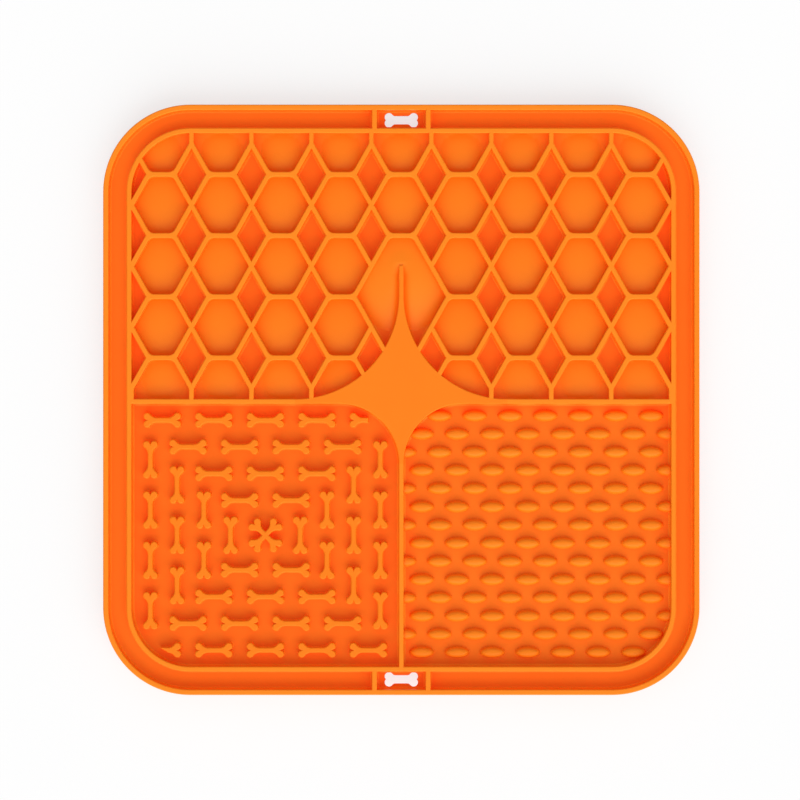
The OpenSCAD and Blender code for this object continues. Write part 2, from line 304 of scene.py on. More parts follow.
@dataclass(frozen=True)
class Region:
    """Plan of one piece: the union of its paths, without its holes, within all its limits."""

    owner: str
    paths: tuple[Path, ...]
    holes: tuple[Path, ...] = ()
    limits: tuple[Path, ...] = ()

    def covers(self, points: np.ndarray) -> np.ndarray:
        """Tells which points the region covers.

        Args:
            points: Rows of x and y.

        Returns:
            One truth value for each point.
        """
        result = np.any([holds(path, points) for path in self.paths], axis=0)
        for path in self.holes:
            result &= ~holds(path, points)
        for path in self.limits:
            result &= holds(path, points)
        return result


class FusedPlan:
    """Plan of all forms that are moulded into each other, as triangles that each belong to one piece.

    Where regions overlap, the first one has the place.
    """

    DECIMALS = 4
    SMOOTH = math.cos(math.radians(32))
    THIN = 2e-3
    SLIVER_ROUNDS = 3
    SHORT = 0.2
    SHARPEST = 0.35

    def __init__(self, regions: Sequence[Region]) -> None:
        """Triangulates the regions.

        Args:
            regions: The pieces' plans.
        """
        numbers: dict[Point, int] = {}
        edges: set[Edge] = set()
        for region in regions:
            for path in region.paths + region.holes + region.limits:
                spots = [(round(x, self.DECIMALS), round(y, self.DECIMALS)) for x, y in path]
                ring = [numbers.setdefault(spot, len(numbers)) for spot in spots]
                edges |= {(a, b) for a, b in around(ring) if a != b}
        self.points, triangles, _ = triangulated(numbers, sorted(edges))
        middles = self.points[triangles].mean(axis=1)
        taken = np.full(len(triangles), -1)
        for number, region in enumerate(regions):
            taken[(taken < 0) & region.covers(middles)] = number
        self.settle_slivers(triangles, taken)
        self.triangles: dict[str, list[tuple[int, int, int]]] = {}
        self.edge_owner: dict[Edge, str] = {}
        for triangle, number in zip(triangles.tolist(), taken):
            if number >= 0:
                owner = regions[number].owner
                self.triangles.setdefault(owner, []).append(tuple(triangle))
                self.edge_owner.update(dict.fromkeys(around(triangle), owner))
        outline = [(a, b) for a, b in self.edge_owner if (b, a) not in self.edge_owner]
        self.following = dict(outline)
        self.before = {b: a for a, b in outline}

    def settle_slivers(self, triangles: np.ndarray, taken: np.ndarray) -> None:
        """Gives each triangle of next to no height to the piece across its longest edge.

        Args:
            triangles: Corners of the triangles.
            taken: Number of the region that each belongs to, which is changed.
        """
        sharing: dict[frozenset[int], list[int]] = {}
        thin: dict[int, frozenset[int]] = {}
        for number, triangle in enumerate(triangles.tolist()):
            edges = around(triangle)
            lengths = [math.dist(self.points[a], self.points[b]) for a, b in edges]
            if 2 * abs(area([tuple(self.points[v]) for v in triangle])) < self.THIN * max(lengths):
                thin[number] = frozenset(edges[lengths.index(max(lengths))])
            for edge in edges:
                sharing.setdefault(frozenset(edge), []).append(number)
        for _ in range(self.SLIVER_ROUNDS):
            for number, edge in thin.items():
                across = [other for other in sharing[edge] if other != number]
                taken[number] = taken[across[0]] if across else -1

    def side(self, a: int, b: int) -> Point:
        """Unit vector that points out of the plan across its outline's edge from a to b."""
        return outward(self.points[a], self.points[b])

    def short(self, a: int, b: int) -> bool:
        """Whether the side from a to b is too short to keep its length when the outline grows."""
        return math.dist(self.points[a], self.points[b]) < self.SHORT

    def mitre(self, vertex: int) -> Point:
        """How far a vertex moves when the outline grows by one.

        Vertices that lie close together move as one corner, so that no short side between them turns over.

        Args:
            vertex: The vertex.

        Returns:
            Its move along X and Y, which is nothing inside the plan.
        """
        if vertex not in self.following or vertex not in self.before:
            return (0.0, 0.0)
        first, last = vertex, vertex
        while self.short(self.before[first], first) and self.before[first] in self.before:
            first = self.before[first]
        while self.short(last, self.following[last]) and self.following[last] in self.following:
            last = self.following[last]
        into, out = self.side(self.before[first], first), self.side(last, self.following[last])
        share = max(self.SHARPEST, 1 + into[0] * out[0] + into[1] * out[1])
        return ((into[0] + out[0]) / share, (into[1] + out[1]) / share)

    def facing(self, a: int, b: int) -> list[Point]:
        """Which way the side over the outline's edge from a to b faces at its ends.

        Args:
            a: First vertex of the edge.
            b: Second vertex of the edge.

        Returns:
            Plan vectors at a and at b, shared with the next edge where the outline bends gently.
        """
        own, result = self.side(a, b), []
        for other in ((self.before.get(a), a), (b, self.following.get(b))):
            near = own if None in other else self.side(*other)
            gentle = own[0] * near[0] + own[1] * near[1] > self.SMOOTH
            result.append(unit(own[0] + near[0], own[1] + near[1]) if gentle else own)
        return result

    def openings(self) -> list[Path]:
        """Outlines of everything that the plan leaves open or surrounds.

        Returns:
            Closed paths.
        """
        loops: list[Path] = []
        left = dict(self.following)
        while left:
            start, vertex = left.popitem()
            loop = [start]
            while vertex != start and vertex in left:
                loop.append(vertex)
                vertex = left.pop(vertex)
            loops.append([tuple(self.points[v]) for v in reversed(loop)])
        return loops

    def build(self, low: float, high: float, form_at: Callable[[Point], EdgeForm],
              finish_of: Callable[[str], "SiliconeFinish"]) -> None:
        """Raises and dresses every piece, given the form of the edge at each point and the finish for each name."""
        for owner in self.triangles:
            self.solid(owner, low, high, form_at).make(owner, finish_of(owner))

    def solid(self, owner: str, low: float, high: float, form_at: Callable[[Point], EdgeForm]) -> Moulding:
        """Raises one piece of the plan.

        Args:
            owner: The piece's name in the plan.
            low: Height of its foot.
            high: Height of its crest.
            form_at: Gives the form of the plan's edge at a point.

        Returns:
            The closed surface of the piece.
        """
        moulding = Moulding()
        known: dict[Edge, int] = {}
        edges = [
            (a, b) for triangle in self.triangles[owner] for a, b in around(triangle)
            if self.edge_owner.get((b, a)) != owner]
        vertices = {vertex for edge in edges for vertex in edge}
        levels = {vertex: form_at(tuple(self.points[vertex])).stations(low, high) for vertex in vertices}

        def corner(vertex: int, level: int) -> int:
            """Finds a corner of the side, or adds it.

            Args:
                vertex: Vertex of the plan under it.
                level: Number of its station.

            Returns:
                The corner's number.
            """
            if (vertex, level) not in known:
                station, (x, y), grow = levels[vertex][level], self.points[vertex], self.mitre(vertex)
                place = (x + grow[0] * station.outset, y + grow[1] * station.outset, station.z)
                known[vertex, level] = moulding.corner(place)
            return known[vertex, level]

        for edge in edges:
            self.wall(moulding, corner, edge, levels)
        for level, normal in ((len(levels[edges[0][0]]) - 1, UP), (0, DOWN)):
            self.cap(moulding, [(corner(a, level), corner(b, level)) for a, b in edges], normal)
        return moulding

    def wall(self, moulding: Moulding, corner: Callable[[int, int], int], edge: Edge,
             levels: dict[int, list[Station]]) -> None:
        """Adds the side over one edge of a piece.

        Args:
            moulding: What it is added to.
            corner: Gives the number of a corner over a vertex at a level.
            edge: The vertices of the edge.
            levels: Stations over each vertex.
        """
        a, b = edge
        outside = (b, a) not in self.edge_owner
        toward = dict(zip(edge, self.facing(a, b) if outside else [self.side(a, b)] * 2))
        for level in range(len(levels[a]) - 1):
            quad = ((a, level), (b, level), (b, level + 1), (a, level + 1))
            stations = [levels[vertex][n] for vertex, n in quad]
            first, normals = stations[0], []
            if all(abs(s.z - first.z) + abs(s.outset - first.outset) < MERGE for s in stations):
                continue
            for (vertex, _), station in zip(quad, stations):
                out, up = (station.out, station.up) if outside else (1.0, 0.0)
                normals.append((toward[vertex][0] * out, toward[vertex][1] * out, up))
            moulding.face([corner(*spot) for spot in quad], normals)

    @staticmethod
    def cap(moulding: Moulding, sides: list[Edge], normal: Place) -> None:
        """Closes a piece with a flat face.

        Args:
            moulding: The piece.
            sides: Pairs of its corners, which outline the face at one height.
            normal: Which way the face looks, up or down.
        """
        used = sorted({c for side in sides for c in side})
        flat = [moulding.corners[c][:2] for c in used]
        numbers = {c: n for n, c in enumerate(used)}
        edges = [(numbers[a], numbers[b]) for a, b in sides]
        z = moulding.corners[used[0]][2]
        points, triangles, origins = triangulated(flat, edges, MERGE / 10)
        corners = [
            used[origin[0]] if origin else moulding.corner((*point, z))
            for point, origin in zip(points.tolist(), origins)]
        inside = between([(flat[a], flat[b]) for a, b in edges], points[triangles].mean(axis=1))
        for triangle in triangles[inside].tolist():
            moulding.face([corners[v] for v in (triangle if normal == UP else triangle[::-1])], normal)


# Finishes


@dataclass(frozen=True)
class Signal:
    """A node's output that can stand in a Python expression with numbers and other outputs."""

    graph: "Graph"
    socket: bpy.types.NodeSocket

    def _maths(self, operation: str, first: Any, second: Any) -> "Signal":
        """Result of one Math node."""
        return self.graph.node("ShaderNodeMath", {"operation": operation}, {0: first, 1: second})["Value"]

    def __add__(self, other: "Signal | float") -> "Signal":
        """Sum."""
        return self._maths("ADD", self, other)

    def __radd__(self, other: float) -> "Signal":
        """Sum with a number on the left."""
        return self._maths("ADD", other, self)

    def __sub__(self, other: "Signal | float") -> "Signal":
        """Difference."""
        return self._maths("SUBTRACT", self, other)

    def __rsub__(self, other: float) -> "Signal":
        """Difference with a number on the left."""
        return self._maths("SUBTRACT", other, self)

    def __mul__(self, other: "Signal | float") -> "Signal":
        """Product."""
        return self._maths("MULTIPLY", self, other)

    def __rmul__(self, other: float) -> "Signal":
        """Product with a number on the left."""
        return self._maths("MULTIPLY", other, self)

    def __or__(self, other: "Signal | float") -> "Signal":
        """The larger of the two, which joins two masks."""
        return self._maths("MAXIMUM", self, other)


class Graph:
    """Node tree of a material or of the world, while it is put together."""

    def __init__(self, owner: bpy.types.Material | bpy.types.World) -> None:
        """Empties the owner's tree.

        Args:
            owner: The material or world.
        """
        owner.use_nodes = True
        self.tree = owner.node_tree
        self.tree.nodes.clear()

    def node(self, kind: str, settings: dict[str, Any] | None = None,
             inputs: dict[str | int, Any] | None = None) -> dict[str, Signal]:
        """Adds a node.

        Args:
            kind: Its type.
            settings: Its own settings, which are set first.
            inputs: Values or signals for its sockets, by number or by name.

        Returns:
            Its outputs by name.
        """
        made = self.tree.nodes.new(kind)
        for name, value in (settings or {}).items():
            setattr(made, name, value)
        sockets = {socket.name: socket for socket in made.inputs if socket.enabled}
        for name, value in (inputs or {}).items():
            socket = made.inputs[name] if isinstance(name, int) else sockets[name]
            if isinstance(value, Signal):
                self.tree.links.new(value.socket, socket)
            else:
                socket.default_value = value
        return {output.name: Signal(self, output) for output in made.outputs if output.enabled}

    def blend(self, mask: Signal, first: Colour, second: Colour) -> Signal:
        """Colour that goes from first to second as the mask goes from 0 to 1."""
        inputs = {"Factor": mask, "A": (*first, 1.0), "B": (*second, 1.0)}
        return self.node("ShaderNodeMix", {"data_type": "RGBA"}, inputs)["Result"]


class Sheen(Enum):
    """How the mould's surface has left the silicone."""

    SATIN = 0.46
    MATT = 0.58
    POLISHED = 0.24


@dataclass(frozen=True)
class SiliconeFinish:
    """Soft silicone with a faint cloudiness, an uneven gloss and the mould's fine grain.

    The shares say how much of the unevenness of colour and of gloss is cloud. The rest is a finer speckle.
    """

    name: str
    sheen: Sheen
    colour: Colour = (0.998, 0.235, 0.008)
    deep: Colour = (0.99, 0.21, 0.006)
    cloud_mm: float = 14.0
    cloud_detail: float = 3.0
    cloud_roughness: float = 0.55
    speckle_mm: float = 1.4
    colour_share: float = 0.8
    gloss_share: float = 0.6
    uneven: float = 0.12
    grain_mm: float = 0.35
    grain_depth_mm: float = 0.01
    grain_strength: float = 0.35
    refraction: float = 1.41
    specular: float = 0.2

    def material(self) -> bpy.types.Material:
        """The finish's material, made the first time that it is asked for."""
        return bpy.data.materials.get(self.name) or self._made()

    def _made(self) -> bpy.types.Material:
        """Puts the material together.

        Returns:
            The material.
        """
        material = bpy.data.materials.new(self.name)
        graph = Graph(material)
        place = graph.node("ShaderNodeTexCoord")["Object"]

        def noise(size: float, detail: float = 2.0, roughness: float = 0.5) -> Signal:
            """Noise with features of a size in millimetres."""
            inputs = {"Vector": place, "Scale": 1 / (size * MM), "Detail": detail, "Roughness": roughness}
            return graph.node("ShaderNodeTexNoise", None, inputs)["Fac"]

        clouds = noise(self.cloud_mm, self.cloud_detail, self.cloud_roughness)
        speckle, grain = noise(self.speckle_mm), noise(self.grain_mm)
        shares = (self.colour_share, self.gloss_share)
        tone, gleam = (clouds * share + speckle * (1 - share) for share in shares)
        relief = graph.node("ShaderNodeBump", None, {
            "Height": grain, "Strength": self.grain_strength, "Distance": self.grain_depth_mm * MM})["Normal"]
        shader = graph.node("ShaderNodeBsdfPrincipled", None, {
            "Base Color": graph.blend(tone, self.colour, self.deep),
            "Roughness": self.sheen.value + self.uneven * (gleam - 0.5),
            "Normal": relief, "IOR": self.refraction, "Specular IOR Level": self.specular})["BSDF"]
        graph.node("ShaderNodeOutputMaterial", None, {"Surface": shader})
        return material


STAR_FINISH = SiliconeFinish("silicone_star", Sheen.SATIN)
# Painted highlight: the walls are a lighter copy of the star's silicone, for thin walls that look brighter in the
# light.
WALL_PAINTED_HIGHLIGHT = SiliconeFinish("silicone_walls_painted_highlight", Sheen.SATIN, (0.998, 0.262, 0.012), (0.99, 0.238, 0.009))
# Painted shade: the fields' floors are a darker, redder copy of the silicone, for the shade that falls on them
# between the walls, bones and domes.
FLOOR_PAINTED_SHADE = SiliconeFinish("silicone_floor_painted_shade", Sheen.MATT, (0.998, 0.195, 0.008), (0.99, 0.175, 0.006))
# Painted shade: the moat's floor is a darker copy of the silicone, less dark than the fields' floors, for the shade
# in its trench.
CHANNEL_PAINTED_SHADE = SiliconeFinish("silicone_channel_painted_shade", Sheen.MATT, (0.998, 0.222, 0.009), (0.99, 0.202, 0.007))
BUMP_FINISH = SiliconeFinish("silicone_bumps", Sheen.SATIN, cloud_mm=9.0)
CUP_FINISH = SiliconeFinish("silicone_cups", Sheen.POLISHED, grain_depth_mm=0.002, uneven=0.06)


# The mat's parts


@dataclass(frozen=True)
class Mat:
    """Sizes that every part of the mat shares."""

    width: float = 200.0
    length: float = 198.0
    corner: float = 29.3
    stand: float = 3.6
    sheet: float = 1.4
    wall: float = 1.6
    wall_height: float = 5.0
    rim: float = 1.8
    moat: float = 6.1
    divider_drop: float = 0.5
    edge_slack: float = 0.1

    @property
    def floor(self) -> float:
        """Height of the sheet's face."""
        return self.stand + self.sheet

    @property
    def top(self) -> float:
        """Height of the walls' tops."""
        return self.floor + self.wall_height

    @property
    def frame_inset(self) -> float:
        """Distance from the mat's edge to the frame."""
        return self.rim + self.moat

    @property
    def field_inset(self) -> float:
        """Distance from the mat's edge to the fields inside the frame."""
        return self.frame_inset + self.wall

    @property
    def field(self) -> Point:
        """Half width and half length inside the frame."""
        return (self.width / 2 - self.field_inset, self.length / 2 - self.field_inset)

    @property
    def cross_y(self) -> float:
        """Level of the cross divider's middle line."""
        return -self.divider_drop

    def outline(self, inset: float) -> Path:
        """The mat's outline, drawn in by an inset."""
        return rounded_box(self.width / 2 - inset, self.length / 2 - inset, self.corner - inset)

    def at_edge(self, point: Point) -> bool:
        """Whether a point of the plan lies on the mat's own edge."""
        beyond = (max(abs(c) - size / 2 + self.corner, 0.0) for c, size in zip(point, (self.width, self.length)))
        return math.hypot(*beyond) > self.corner - self.edge_slack


@dataclass(frozen=True)
class BoneShape:
    """A bone's plan about its middle, lying along X: a shaft that flares into two lobes at each end."""

    length: float = 12.6
    width: float = 5.0
    shaft: float = 1.7
    lobe: float = 1.22
    flare: float = 2.6
    notch_turn: float = -64.0
    lobe_steps: int = 12
    flare_steps: int = 5

    def path(self) -> Path:
        """The bone's smooth outline. Large lobes meet on its middle line, small ones leave a notch.

        Returns:
            The outline, anticlockwise.
        """
        x, y, r, flare = self.length / 2 - self.lobe, self.width / 2 - self.lobe, self.lobe, self.flare
        drop = self.shaft / 2 + flare - y
        lead = math.sqrt((flare + r) ** 2 - drop ** 2)
        meets = math.degrees(math.atan2(drop, -lead))
        start = -math.degrees(math.asin(y / r)) if y < r else self.notch_turn
        quarter = [] if y < r else [(x, 0.0)]
        quarter += arc((x, y), r, start, meets - start, self.lobe_steps)
        quarter += arc((x - lead, self.shaft / 2 + flare), flare, meets - 180, 90 - meets, self.flare_steps)[1:]
        upper = quarter + flipped(quarter, -1, 1)
        return upper + flipped(upper, 1, -1)[1:-1]


@dataclass(frozen=True)
class HangingEyes:
    """The two bone-shaped holes in the moat, and the ribs beside them."""

    mat: Mat
    shape: BoneShape = BoneShape(11.2, 4.9, 2.8, 1.45, flare=1.2)
    rib_spacing: float = 18.0
    rib: float = 1.7

    @property
    def level(self) -> float:
        """Distance of the eyes' middles from the middle of the mat."""
        return self.mat.length / 2 - self.mat.rim - self.mat.moat / 2

    def eye(self, y_sign: int) -> Path:
        """Outline of one hole."""
        return shifted(self.shape.path(), 0, y_sign * self.level)

    def patch(self, y_sign: int) -> Path:
        """Plan of the piece of the sheet that carries one hole."""
        half, inset = self.rib_spacing / 2, self.mat.frame_inset + self.mat.wall / 2
        return flipped(box((-half, self.mat.length / 2 - inset), (half, self.mat.length / 2)), 1, y_sign)

    def ribs(self) -> list[Region]:
        """Plans of the two pairs of ribs.

        Returns:
            One region for each pair.
        """
        half, reach = self.rib / 2, self.mat.moat / 2
        pair = [
            box((x - half, self.level - reach), (x + half, self.level + reach))
            for x in (-self.rib_spacing / 2, self.rib_spacing / 2)]
        return [
            Region(name, tuple(flipped(path, 1, y_sign) for path in pair))
            for name, y_sign in (("rib_pair_top", 1), ("rib_pair_bottom", -1))]


@dataclass(frozen=True)
class Sheet:
    """The mat's flat floor: three fields, the moat's two halves and the patches of the hanging eyes."""

    mat: Mat
    eyes: HangingEyes
    edge: EdgeForm = EdgeForm(foot=-0.45, crest=0.0)
    hole: EdgeForm = EdgeForm(foot=-0.3, crest=0.3)

    def build(self) -> None:
        """Builds and dresses every piece of the sheet."""
        mat, eyes = self.mat, self.eyes
        middle, whole = mat.outline(mat.frame_inset + mat.wall / 2), mat.outline(0)
        x, y, cross = mat.width / 2, mat.length / 2, mat.cross_y
        holes = (eyes.eye(1), eyes.eye(-1))
        plan = FusedPlan([
            Region("hanging_eye_top", (eyes.patch(1),), holes),
            Region("hanging_eye_bottom", (eyes.patch(-1),), holes),
            Region("comb_floor", (middle,), holes, (box((-x, cross), (x, y)),)),
            Region("bone_floor", (middle,), holes, (box((-x, -y), (0, cross)),)),
            Region("oval_floor", (middle,), holes, (box((0, -y), (x, cross)),)),
            Region("channel_floor_left", (whole,), holes, (box((-x, -y), (0, y)),)),
            Region("channel_floor_right", (whole,), holes, (box((0, -y), (x, y)),)),
        ])
        plan.build(mat.stand, mat.floor, self.form_at, self.finish_of)

    def form_at(self, point: Point) -> EdgeForm:
        """Form of the sheet's edge at a point: the mat's edge or a hole's."""
        return self.edge if self.mat.at_edge(point) else self.hole

    @staticmethod
    def finish_of(owner: str) -> SiliconeFinish:
        """Finish of one piece: painted shade on every floor, a darker copy of the silicone, a little less dark in
        the moat's halves than in the fields.
        """
        return CHANNEL_PAINTED_SHADE if owner.startswith("channel") else FLOOR_PAINTED_SHADE


@dataclass(frozen=True)
class Star:
    """Flat-topped star with two large curves above, two small ones below, and a thin upper spike."""

    mat: Mat
    upper: float = 34.8
    lower: float = 20.1
    spike_tip: float = 45.25
    fade: float = 3.2
    steps: int = 40

    @property
    def arm(self) -> float:
        """Reach of the star's arms from the middle of the mat."""
        return self.upper + self.mat.wall / 2

    @property
    def foot(self) -> float:
        """Level of the star's lower tip."""
        return self.mat.cross_y - self.lower - self.mat.wall / 2

    def outline(self) -> Path:
        """The star's outline.

        Returns:
            The outline, anticlockwise.
        """
        half, cross = self.mat.wall / 2, self.mat.cross_y
        low, high = self.lower + half, self.upper + half
        right = arc((low, -low), self.lower, 180, -90, self.steps)
        right += [(self.arm, -half)]
        right += arc((high, high), self.upper, 270, -90, self.steps)
        right += [(half, self.spike_tip - self.fade - cross), (half, self.spike_tip - cross)]
        return shifted(right + flipped(right, -1, 1), 0, cross)

    def regions(self) -> list[Region]:
        """Plans of the star and of the three dividers that run from it to the frame.

        Returns:
            One region for each.
        """
        half, cross = self.mat.wall / 2, self.mat.cross_y
        x, y = self.mat.field
        right = box((self.arm, cross - half), (x, cross + half))
        return [
            Region("centre_star", (self.outline(),)),
            Region("divider_right", (right,)),
            Region("divider_left", (flipped(right, -1, 1),)),
            Region("divider_lower", (box((-half, -y), (half, self.foot)),)),
        ]


@dataclass(frozen=True)
class Crown:
    """Top of a ball that stands out of the floor, by a height over a base radius.

    A groove along its middle, where there is one, ends at groove_end past the middle. Beyond the base the crown
    lies a skirt's depth below its lift. The net is the distance between its corners, and the depth is how far it
    reaches into the sheet.
    """

    middle: Point
    base: float
    height: float
    lift: float = 0.0
    groove: float = 0.0
    groove_half: float = 1.9
    groove_end: float = 4.5
    skirt: float = 0.1
    probe: float = 0.01
    net: float = 1.15
    depth: float = 0.2

    def level(self, x: float, y: float) -> float:
        """Height over the floor at a place in the plan.

        Args:
            x: Place along X.
            y: Place along Y.

        Returns:
            The height.
        """
        x, y = x - self.middle[0], y - self.middle[1]
        fade = min(max((self.groove_end - y) / self.groove_end, 0.0), 1.0)
        dip = self.groove * fade * math.exp(-(x / self.groove_half) ** 2)
        return self.lift + max(cap_height(self.base, self.height, math.hypot(x, y)), -self.skirt) - dip

    def surface(self, point: Point) -> tuple[float, Place]:
        """Height of the crown over the floor at a point, and its normal there.

        Args:
            point: Place in the plan.

        Returns:
            The height and the unit normal.
        """
        x, y, step = *point, self.probe
        lean = [
            (self.level(x - dx, y - dy) - self.level(x + dx, y + dy)) / (2 * step)
            for dx, dy in ((step, 0.0), (0.0, step))]
        size = math.hypot(*lean, 1.0)
        return self.level(x, y), (lean[0] / size, lean[1] / size, 1 / size)

    def cover(self, moulding: Moulding, opening: Path, floor: float) -> None:
        """Adds the crowned floor of an opening between walls.

        Args:
            moulding: What it is added to.
            opening: Path of the opening.
            floor: Height of the sheet's face.
        """
        ring = opening if area(opening) > 0 else opening[::-1]
        low, high = np.min(ring, axis=0), np.max(ring, axis=0)
        row = np.arange(low[0], high[0], self.net)
        levels = np.arange(low[1], high[1], self.net * math.sqrt(3) / 2)
        net = [(x + (n % 2) * self.net / 2, y) for n, y in enumerate(levels) for x in row]
        inner = [p for p, kept in zip(net, holds(ring, np.array(net))) if kept]
        points, triangles, _ = triangulated(ring + inner, around(range(len(ring))))
        surfaces = [self.surface(tuple(p)) for p in points]
        top = [moulding.corner((x, y, floor + s[0])) for (x, y), s in zip(points, surfaces)]
        bottom = [moulding.corner((x, y, floor - self.depth)) for x, y in points]
        edges: set[Edge] = set()
        for triangle in triangles[holds(ring, points[triangles].mean(axis=1))].tolist():
            moulding.face([top[v] for v in triangle], [surfaces[v][1] for v in triangle])
            moulding.face([bottom[v] for v in reversed(triangle)], DOWN)
            edges |= set(around(triangle))
        for a, b in edges:
            if (b, a) not in edges:
                moulding.face((bottom[a], bottom[b], top[b], top[a]), (*outward(points[a], points[b]), 0.0))


@dataclass(frozen=True)
class Comb:
    """Honeycomb of zigzag walls and filleted bars, with crowned floors in its cells."""

    mat: Mat
    columns: int = 9
    rows: int = 4
    bar: float = 8.6
    stub: float = 3.6
    fillet: float = 2.4
    fillet_steps: int = 7
    grip: float = 0.5
    open_row: int = 1
    pad_height: float = 1.05
    pad_lift: float = 0.65
    cut_pad_height: float = 0.8
    dome: Crown = Crown((0.0, 42.0), 19.2, 3.9, groove=1.25)
    dome_side: float = 4.0

    @property
    def low(self) -> float:
        """Level of the cross divider's upper face."""
        return self.mat.cross_y + self.mat.wall / 2

    @property
    def pitch(self) -> Point:
        """Distances between columns and between rows."""
        x, y = self.mat.field
        return (2 * x / self.columns, (y - self.low - 2 * self.stub) / self.rows)

    @property
    def swing(self) -> float:
        """How far a zigzag wall swings sideways."""
        return (self.pitch[0] - self.bar) / 2

    @property
    def slant(self) -> float:
        """Angle of a zigzag wall's stretches to the bars, in radians."""
        return math.atan2(self.pitch[1] / 2, self.swing)

    @property
    def slant_half(self) -> float:
        """Half the width of a stretch, measured along X."""
        return self.mat.wall / 2 / math.sin(self.slant)

    @property
    def star_column(self) -> int:
        """The middle column, whose lower cells the star takes up."""
        return (self.columns + 1) // 2

    def column_x(self, column: int) -> float:
        """Middle line of a column."""
        return (column - self.star_column) * self.pitch[0]

    def row_y(self, row: int) -> float:
        """Level where the zigzag walls reach the edges of their columns."""
        return self.low + self.stub + row * self.pitch[1]

    def bar_y(self, row: int) -> float:
        """Level of the bars over such a row."""
        return self.row_y(row) + self.pitch[1] / 2

    def bar_path(self) -> Path:
        """Outline of a bar about its middle, with a fillet at each corner where it meets a zigzag wall.

        Returns:
            The outline, anticlockwise.
        """
        half_wall, turn = self.mat.wall / 2, math.degrees(self.slant)
        corner = self.bar / 2 - self.slant_half + half_wall / math.tan(self.slant)
        middle = (corner - self.fillet * math.tan(self.slant / 2), half_wall + self.fillet)
        curve = arc(middle, self.fillet, turn - 90, -turn, self.fillet_steps)
        into = (curve[0][0] + self.grip * math.sin(self.slant), curve[0][1] - self.grip * math.cos(self.slant))
        half = [(self.bar / 2 - self.slant_half, 0.0), into] + curve
        return [*half, *flipped(half[1:], -1, 1), *flipped(half, -1, -1), *flipped(half[1:], 1, -1)]

    def zigzag(self, opened: bool) -> list[Path]:
        """Paths of the zigzag wall at the left edge of a column, which lies on x = 0.

        Args:
            opened: Whether it lacks the two stretches beside the star's spike.

        Returns:
            The wall's stretches and its straight ends, which meet or overlap.
        """
        half, lean, swing = self.mat.wall / 2, self.slant_half, self.swing
        low, first = self.low, self.row_y(0)
        drop = (lean - half) * math.tan(self.slant)
        stub = [(0.0, low), (half, low), (half, first - drop), (lean, first), (0.0, first)]
        result = [stub, shifted(flipped(stub, 1, -1), 0, low + self.mat.field[1])]
        for row in range(self.rows):
            y, bar = self.row_y(row), self.bar_y(row)
            path = [(-lean, y), (lean, y), (swing + lean, bar), (swing - lean, bar)]
            if opened and row == self.open_row:
                path = [(0.0, y), (lean, y), (0.0, y + lean * math.tan(self.slant))]
            result += [path, shifted(flipped(path, 1, -1), 0, 2 * bar)]
        return result

    def regions(self) -> list[Region]:
        """Plans of the walls of every column and of the bars of every row.

        Returns:
            One region for each row of bars and for each column.
        """
        field_path = self.mat.outline(self.mat.field_inset)
        result = []
        for row in range(1, self.rows + 1):
            bars = [
                shifted(self.bar_path(), self.column_x(column), self.bar_y(row - 1))
                for column in range(1, self.columns + 1)
                if column != self.star_column or row > self.open_row + 1]
            result.append(Region(f"comb_bars_{row}", tuple(bars), (), (field_path,)))
        for column in range(1, self.columns + 1):
            x, half = self.column_x(column), self.pitch[0] / 2
            left = self.zigzag(column == self.star_column)
            paths = [shifted(path, x - half, 0) for path in left]
            paths += [shifted(flipped(path, -1, 1), x + half, 0) for path in left]
            strip = box((x - half, self.low), (x + half, self.mat.field[1]))
            result.append(Region(f"comb_walls_{column}", tuple(paths), (), (field_path, strip)))
        return result

    def build_floors(self, plan: FusedPlan) -> None:
        """Builds and dresses the crowned floors of the cells.

        Args:
            plan: The walls' plan, which gives the openings between them.
        """
        openings = sorted(plan.openings(), key=lambda path: abs(area(path)))

        def opening(point: Point) -> Path:
            """The smallest opening round a point."""
            return next(path for path in openings if holds(path, np.array([point]))[0])

        cut_base = (self.stub + self.pitch[1] / 2 - self.mat.wall / 2) / 2
        inward = {1: cut_base - self.stub, self.rows + 1: self.stub - cut_base}
        for row in range(1, self.rows + 2):
            pads, y = Moulding(), self.row_y(row - 1) + inward.get(row, 0.0)
            base, height = (self.pitch[1] - self.mat.wall) / 2, self.pad_height
            if row in inward:
                base, height = cut_base, self.cut_pad_height
            for column in range(1, self.columns + 1):
                if column != self.star_column or row > self.open_row + 2:
                    crown = Crown((self.column_x(column), y), base, height, self.pad_lift)
                    crown.cover(pads, opening(crown.middle), self.mat.floor)
            pads.make(f"cell_pads_{row}", BUMP_FINISH)
        dome = Moulding()
        self.dome.cover(dome, opening((self.dome_side, self.dome.middle[1])), self.mat.floor)
        dome.make("star_cell_dome", BUMP_FINISH)


@dataclass(frozen=True)
class Walls:
    """Everything that stands as high as the rim, moulded into one network."""

    mat: Mat
    eyes: HangingEyes
    star: Star
    comb: Comb
    outer: EdgeForm = EdgeForm(foot=0.0, crest=0.45)
    inner: EdgeForm = EdgeForm(foot=0.7, crest=0.35)
    spike: EdgeForm = EdgeForm(foot=0.7, crest=0.35, dip=1.15)

    def build(self) -> None:
        """Builds and dresses the rim, frame, ribs, dividers, star and comb, and the comb's floors."""
        mat = self.mat
        regions = [
            Region("outer_rim", (mat.outline(0),), (mat.outline(mat.rim),)),
            Region("inner_frame", (mat.outline(mat.frame_inset),), (mat.outline(mat.field_inset),)),
        ]
        plan = FusedPlan(regions + self.eyes.ribs() + self.star.regions() + self.comb.regions())
        plan.build(mat.floor, mat.top, self.form_at, self.finish_of)
        self.comb.build_floors(plan)

    def form_at(self, point: Point) -> EdgeForm:
        """Form of a wall's side at a point: the spike's end, the mat's outer face or an inner face."""
        side = self.outer if self.mat.at_edge(point) else self.inner
        return self.spike if math.dist(point, (0.0, self.star.spike_tip)) < self.mat.wall else side

    @staticmethod
    def finish_of(owner: str) -> SiliconeFinish:
        """Finish of one piece: the star's own silicone, or for every other wall a lighter copy that carries a
        painted highlight.
        """
        return STAR_FINISH if owner == "centre_star" else WALL_PAINTED_HIGHLIGHT


